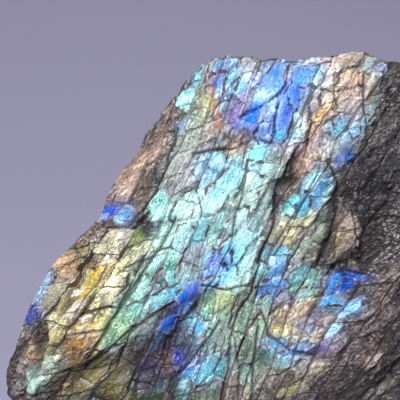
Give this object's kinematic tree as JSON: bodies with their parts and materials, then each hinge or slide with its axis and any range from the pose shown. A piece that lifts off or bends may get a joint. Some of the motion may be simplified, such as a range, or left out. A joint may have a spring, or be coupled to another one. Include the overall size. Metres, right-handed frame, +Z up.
{
  "type": "rough mineral chunk",
  "caption": "Rough chunk of labradorite with an open cleavage face that flashes blue, green and gold, and a flat break to stand on.",
  "frame": {"origin": "middle of the bounding box's bottom face, on the flat break that the chunk stands on", "axes": "+Z up, +X along the chunk's longest extent, and the show face with the flash looks along -Y"},
  "size_m": [0.1228, 0.064, 0.103],
  "materials": {
    "labradorite": "rough cleaved feldspar with blue, green and gold flash, dark cracks and grey-brown matrix"
  },
  "bodies": {
    "root": {"labradorite_chunk": "labradorite"}
  },
  "joints": []
}
